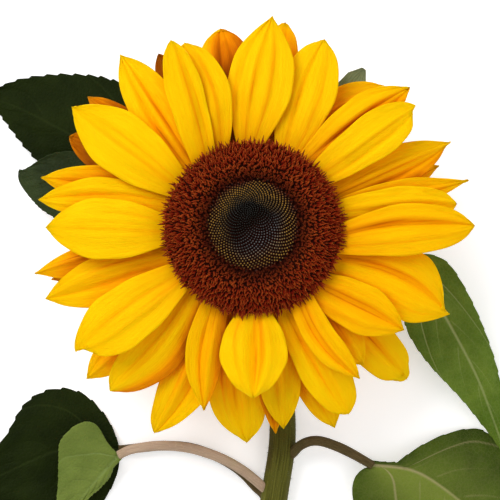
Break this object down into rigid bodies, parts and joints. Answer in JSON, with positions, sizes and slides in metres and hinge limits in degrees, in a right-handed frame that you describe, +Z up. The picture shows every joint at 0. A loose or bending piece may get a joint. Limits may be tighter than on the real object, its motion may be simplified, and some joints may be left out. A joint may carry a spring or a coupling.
{
  "type": "cut sunflower",
  "caption": "Cut sunflower lying face up: overlapping yellow ray petals round a brown disc, with green bracts, a bent stem and broad leaves.",
  "frame": {"origin": "On the surface that the flower lies on, under the middle of its box.", "axes": "+Z up, out of the flower's face; +Y from the cut end of the stem towards the head; +X to the right as the face is looked down on."},
  "size_m": [0.2246, 0.334, 0.0546],
  "materials": {
    "petal": "thin waxy petal, silky with fine lengthwise veins",
    "open_florets": "velvety brown florets",
    "bud_florets": "dark closed florets with ochre tips",
    "receptacle": "fleshy green",
    "bract": "hairy green",
    "stem": "ridged hairy green",
    "leaf": "veined dull green"
  },
  "bodies": {
    "root": {"receptacle": "receptacle", "disc_ring": "open_florets", "disc_centre": "bud_florets", "bracts_inner": "bract", "bracts_outer": "bract", "stem": "stem", "stalk_upper_left": "stem", "stalk_left": "stem", "stalk_right": "stem", "stalk_lower_right": "stem", "stalk_lower_left": "stem", "stalk_back_left": "stem", "leaf_upper_left": "leaf", "leaf_left": "leaf", "leaf_right": "leaf", "leaf_lower_right": "leaf", "leaf_lower_left": "leaf", "leaf_back_left": "leaf", "petal_01": "petal", "petal_02": "petal", "petal_03": "petal", "petal_04": "petal", "petal_05": "petal", "petal_06": "petal", "petal_07": "petal", "petal_08": "petal", "petal_09": "petal", "petal_10": "petal", "petal_11": "petal", "petal_12": "petal", "petal_13": "petal", "petal_14": "petal", "petal_15": "petal", "petal_16": "petal", "petal_17": "petal", "petal_18": "petal", "petal_19": "petal", "petal_20": "petal", "petal_21": "petal", "petal_22": "petal", "petal_23": "petal", "petal_24": "petal", "petal_25": "petal", "petal_26": "petal", "petal_27": "petal", "petal_28": "petal", "petal_29": "petal", "petal_30": "petal", "petal_31": "petal", "petal_32": "petal", "petal_33": "petal", "petal_34": "petal", "petal_35": "petal", "petal_36": "petal", "petal_37": "petal", "petal_38": "petal", "petal_39": "petal", "petal_40": "petal", "petal_41": "petal"}
  },
  "joints": []
}
